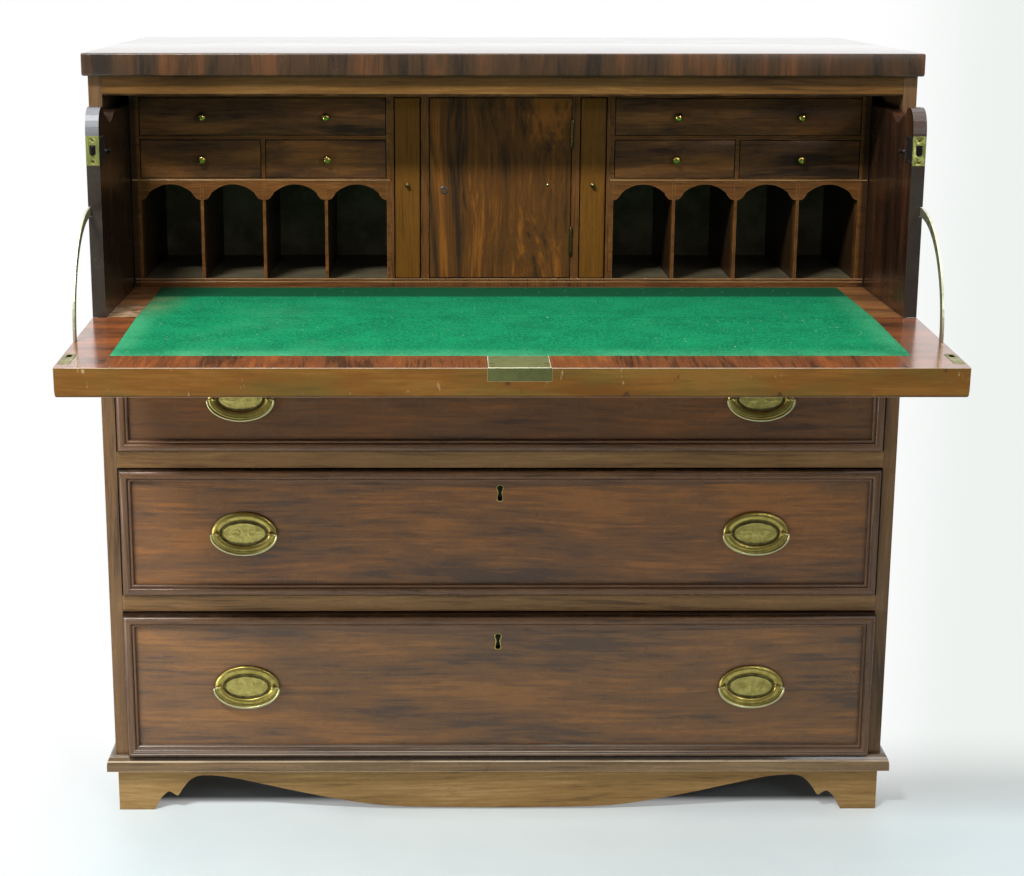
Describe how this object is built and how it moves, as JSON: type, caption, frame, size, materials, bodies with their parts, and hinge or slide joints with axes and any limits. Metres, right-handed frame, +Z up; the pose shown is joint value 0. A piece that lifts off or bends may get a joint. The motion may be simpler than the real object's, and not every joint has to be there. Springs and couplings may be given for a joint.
{
  "type": "secretaire chest",
  "caption": "Mahogany chest of drawers whose top drawer pulls out and drops its front as a baize-lined writing desk with pigeonholes and small drawers, on a shaped bracket plinth.",
  "frame": {"origin": "on the floor, under the middle of the piece as it stands with its writing drawer out and its fall down", "axes": "+X to the right as seen from the front, -Y the front, towards the user, +Z up"},
  "size_m": [1.124, 0.9778, 1.078],
  "materials": {
    "mahogany_dark": "french-polished dark red-brown mahogany, satin gloss",
    "mahogany_golden": "faded golden-brown mahogany, polished",
    "mahogany_flame": "flame-figured mahogany veneer, crossbanded, polished",
    "drawer_oak": "dry unpolished secondary oak, aged",
    "brass": "lacquered brass, aged",
    "green_baize": "felted wool cloth, matt"
  },
  "bodies": {
    "carcase": {"top_board": "mahogany_flame", "side_left": "mahogany_dark", "side_right": "mahogany_dark", "back_panel": "drawer_oak", "top_rail": "mahogany_golden", "dust_frame_upper": "mahogany_golden", "dust_frame_middle": "mahogany_golden", "dust_frame_lower": "mahogany_golden", "bottom_board": "drawer_oak", "base_moulding": "mahogany_golden", "plinth_front": "mahogany_golden", "plinth_left": "mahogany_golden", "plinth_right": "mahogany_golden"},
    "drawer_1": {"drawer_front_1": "mahogany_dark", "drawer_box_1": "drawer_oak", "drawer_plate_1_left": "brass", "drawer_plate_1_right": "brass"},
    "drawer_bail_1_left": {"drawer_bail_1_left": "brass"},
    "drawer_bail_1_right": {"drawer_bail_1_right": "brass"},
    "drawer_2": {"drawer_front_2": "mahogany_dark", "drawer_box_2": "drawer_oak", "drawer_plate_2_left": "brass", "drawer_plate_2_right": "brass"},
    "drawer_bail_2_left": {"drawer_bail_2_left": "brass"},
    "drawer_bail_2_right": {"drawer_bail_2_right": "brass"},
    "drawer_3": {"drawer_front_3": "mahogany_dark", "drawer_box_3": "drawer_oak", "drawer_plate_3_left": "brass", "drawer_plate_3_right": "brass"},
    "drawer_bail_3_left": {"drawer_bail_3_left": "brass"},
    "drawer_bail_3_right": {"drawer_bail_3_right": "brass"},
    "writing_drawer": {"writing_floor": "mahogany_dark", "cheek_left": "mahogany_dark", "cheek_right": "mahogany_dark", "writing_back": "drawer_oak", "pigeonholes_left": "mahogany_golden", "pigeonholes_right": "mahogany_golden", "centre_case": "mahogany_golden", "baize_bed": "green_baize"},
    "fall": {"fall_front": "mahogany_dark", "fall_plate_left": "brass", "fall_plate_right": "brass", "fall_lock": "brass", "baize_fall": "green_baize", "stay_left": "brass", "stay_right": "brass"},
    "fall_bail_left": {"fall_bail_left": "brass"},
    "fall_bail_right": {"fall_bail_right": "brass"},
    "catch_bolt_left": {"catch_bolt_left": "brass"},
    "catch_bolt_right": {"catch_bolt_right": "brass"},
    "long_drawer_left": {"long_drawer_left": "mahogany_dark"},
    "small_drawer_left_1": {"small_drawer_left_1": "mahogany_golden"},
    "small_drawer_left_2": {"small_drawer_left_2": "mahogany_golden"},
    "document_slide_left": {"document_slide_left": "mahogany_golden"},
    "long_drawer_right": {"long_drawer_right": "mahogany_dark"},
    "small_drawer_right_1": {"small_drawer_right_1": "mahogany_golden"},
    "small_drawer_right_2": {"small_drawer_right_2": "mahogany_golden"},
    "document_slide_right": {"document_slide_right": "mahogany_golden"},
    "prospect_door": {"prospect_door": "mahogany_flame"}
  },
  "joints": [
    {"name": "drawer_1_slide", "type": "slide", "parent": "carcase", "child": "drawer_1", "axis": [0, -1, 0], "range_m": [0, 0.24]},
    {"name": "drawer_bail_1_left_hinge", "type": "hinge", "parent": "drawer_1", "child": "drawer_bail_1_left", "pos_m": [-0.358, -0.0796, 0.61095], "axis": [-1, 0, 0], "range_deg": [0, 95]},
    {"name": "drawer_bail_1_right_hinge", "type": "hinge", "parent": "drawer_1", "child": "drawer_bail_1_right", "pos_m": [0.358, -0.0796, 0.61095], "axis": [-1, 0, 0], "range_deg": [0, 95]},
    {"name": "drawer_2_slide", "type": "slide", "parent": "carcase", "child": "drawer_2", "axis": [0, -1, 0], "range_m": [0, 0.36]},
    {"name": "drawer_bail_2_left_hinge", "type": "hinge", "parent": "drawer_2", "child": "drawer_bail_2_left", "pos_m": [-0.358, -0.0796, 0.4182], "axis": [-1, 0, 0], "range_deg": [0, 95]},
    {"name": "drawer_bail_2_right_hinge", "type": "hinge", "parent": "drawer_2", "child": "drawer_bail_2_right", "pos_m": [0.358, -0.0796, 0.4182], "axis": [-1, 0, 0], "range_deg": [0, 95]},
    {"name": "drawer_3_slide", "type": "slide", "parent": "carcase", "child": "drawer_3", "axis": [0, -1, 0], "range_m": [-0.01, 0.35]},
    {"name": "drawer_bail_3_left_hinge", "type": "hinge", "parent": "drawer_3", "child": "drawer_bail_3_left", "pos_m": [-0.358, -0.0896, 0.1947], "axis": [-1, 0, 0], "range_deg": [0, 95]},
    {"name": "drawer_bail_3_right_hinge", "type": "hinge", "parent": "drawer_3", "child": "drawer_bail_3_right", "pos_m": [0.358, -0.0896, 0.1947], "axis": [-1, 0, 0], "range_deg": [0, 95]},
    {"name": "writing_drawer_slide", "type": "slide", "parent": "carcase", "child": "writing_drawer", "axis": [0, -1, 0], "range_m": [-0.173, 0]},
    {"name": "fall_hinge", "type": "hinge", "parent": "writing_drawer", "child": "fall", "pos_m": [0, -0.2171, 0.7492], "axis": [1, 0, 0], "range_deg": [-92.2, 0]},
    {"name": "fall_bail_left_hinge", "type": "hinge", "parent": "fall", "child": "fall_bail_left", "pos_m": [-0.358, -0.33365, 0.7092], "axis": [-1, 0, 0], "range_deg": [-92.2, 2.8]},
    {"name": "fall_bail_right_hinge", "type": "hinge", "parent": "fall", "child": "fall_bail_right", "pos_m": [0.358, -0.33365, 0.7092], "axis": [-1, 0, 0], "range_deg": [-92.2, 2.8]},
    {"name": "catch_bolt_left_slide", "type": "slide", "parent": "writing_drawer", "child": "catch_bolt_left", "axis": [0, 1, 0], "range_m": [0, 0.0025], "stiffness_N_per_m": 200, "springref_m": -0.004},
    {"name": "catch_bolt_right_slide", "type": "slide", "parent": "writing_drawer", "child": "catch_bolt_right", "axis": [0, 1, 0], "range_m": [0, 0.0025], "stiffness_N_per_m": 200, "springref_m": -0.004},
    {"name": "long_drawer_left_slide", "type": "slide", "parent": "writing_drawer", "child": "long_drawer_left", "axis": [0, -1, 0], "range_m": [0, 0.15]},
    {"name": "small_drawer_left_1_slide", "type": "slide", "parent": "writing_drawer", "child": "small_drawer_left_1", "axis": [0, -1, 0], "range_m": [0, 0.15]},
    {"name": "small_drawer_left_2_slide", "type": "slide", "parent": "writing_drawer", "child": "small_drawer_left_2", "axis": [0, -1, 0], "range_m": [0, 0.15]},
    {"name": "document_slide_left_slide", "type": "slide", "parent": "writing_drawer", "child": "document_slide_left", "axis": [0, -1, 0], "range_m": [0, 0.15]},
    {"name": "long_drawer_right_slide", "type": "slide", "parent": "writing_drawer", "child": "long_drawer_right", "axis": [0, -1, 0], "range_m": [0, 0.15]},
    {"name": "small_drawer_right_1_slide", "type": "slide", "parent": "writing_drawer", "child": "small_drawer_right_1", "axis": [0, -1, 0], "range_m": [0, 0.15]},
    {"name": "small_drawer_right_2_slide", "type": "slide", "parent": "writing_drawer", "child": "small_drawer_right_2", "axis": [0, -1, 0], "range_m": [0, 0.15]},
    {"name": "document_slide_right_slide", "type": "slide", "parent": "writing_drawer", "child": "document_slide_right", "axis": [0, -1, 0], "range_m": [0, 0.15]},
    {"name": "prospect_door_hinge", "type": "hinge", "parent": "writing_drawer", "child": "prospect_door", "pos_m": [0.0992, 0.0304, 0.7616], "axis": [0, 0, 1], "range_deg": [0, 90]}
  ]
}
